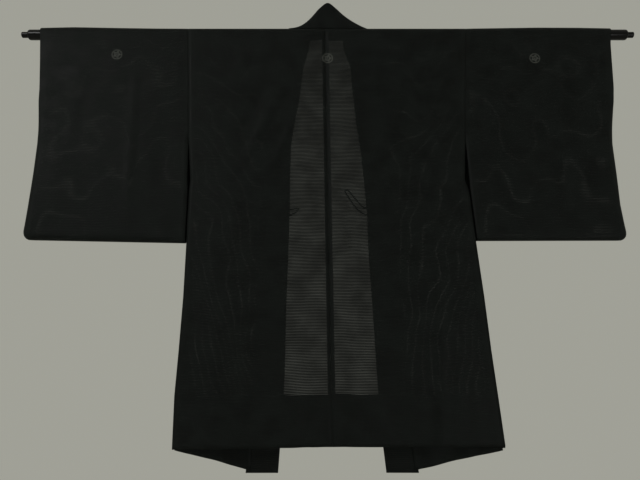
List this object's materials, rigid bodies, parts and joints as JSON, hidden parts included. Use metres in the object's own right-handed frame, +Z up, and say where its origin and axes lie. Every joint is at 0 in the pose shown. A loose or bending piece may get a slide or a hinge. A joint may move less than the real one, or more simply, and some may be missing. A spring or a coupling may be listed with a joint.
{
  "type": "haori jacket on a rod",
  "caption": "Sheer black summer haori jacket hung flat through its sleeves on a black rod, with square sleeves, open front and long collar band.",
  "frame": {"origin": "on the rod's axis, half way along the rod", "axes": "+X along the rod to the wearer's right sleeve, +Y the way the wearer faces, +Z up; the back faces -Y"},
  "size_m": [1.412, 0.0481, 1.034],
  "materials": {
    "sheer_silk": "matt sheer black silk with open cross rows, which lets light through where it is single",
    "collar_silk": "the same silk folded double, matt black",
    "loop_cord": "thin sewn silk cord, matt black",
    "lacquer": "wood under smooth black lacquer"
  },
  "bodies": {
    "root": {"rod": "lacquer", "body_left": "sheer_silk", "body_right": "sheer_silk", "gusset_left": "sheer_silk", "gusset_right": "sheer_silk", "sleeve_left": "sheer_silk", "sleeve_right": "sheer_silk", "collar": "collar_silk", "loop_left": "loop_cord", "loop_right": "loop_cord"}
  },
  "joints": []
}
